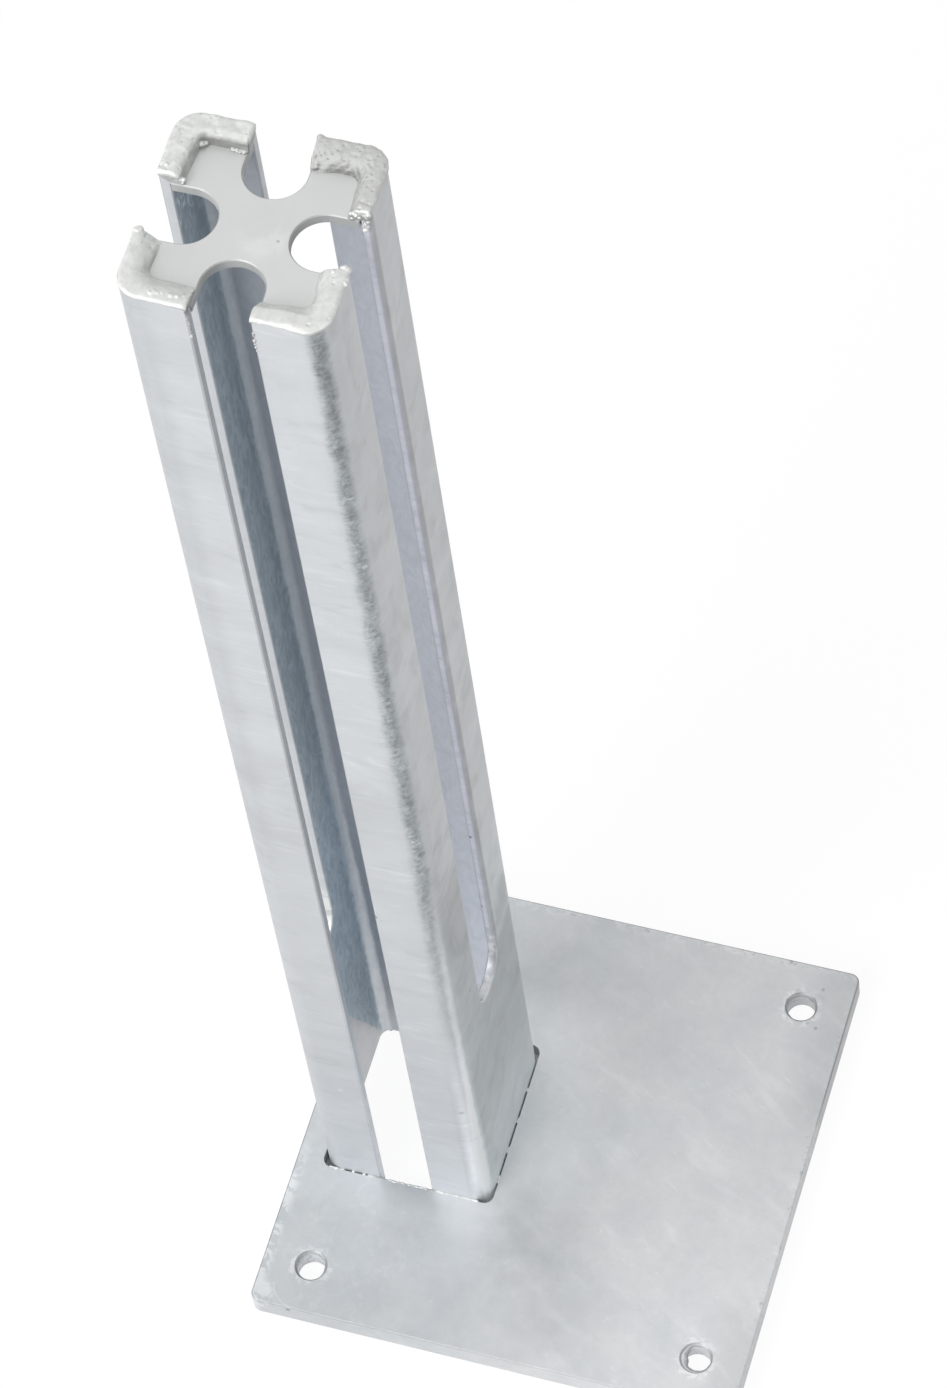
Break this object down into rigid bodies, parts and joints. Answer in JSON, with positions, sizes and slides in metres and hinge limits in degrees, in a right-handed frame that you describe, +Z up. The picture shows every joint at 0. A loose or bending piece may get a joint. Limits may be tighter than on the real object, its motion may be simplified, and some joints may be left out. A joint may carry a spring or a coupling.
{
  "type": "column base plate",
  "caption": "Galvanised square bolt-down plate with an upright post of slotted channels that a hollow column slides over, and a cross-shaped head plate.",
  "frame": {"origin": "centre of the square base plate's underside, which is also the bottom centre of the whole part", "axes": "+Z up along the post, +X along the plate's front edge from the post towards the wide free side of the plate, +Y towards the back"},
  "size_m": [0.15, 0.15, 0.48],
  "materials": {
    "galvanised_plate": "hot-dip galvanised, matt with soft mottling and zinc runs",
    "galvanised_sheet": "hot-dip galvanised, satin with faint streaks and roughness along the bends",
    "galvanised_weld": "hot-dip galvanised weld bead, lumpy and brighter than the sheet"
  },
  "bodies": {
    "root": {"base_plate": "galvanised_plate", "left_channel": "galvanised_sheet", "right_channel": "galvanised_sheet", "head_plate": "galvanised_plate", "base_weld_left": "galvanised_weld", "base_weld_right": "galvanised_weld", "head_weld_front_left": "galvanised_weld", "head_weld_front_right": "galvanised_weld", "head_weld_back_left": "galvanised_weld", "head_weld_back_right": "galvanised_weld"}
  },
  "joints": []
}
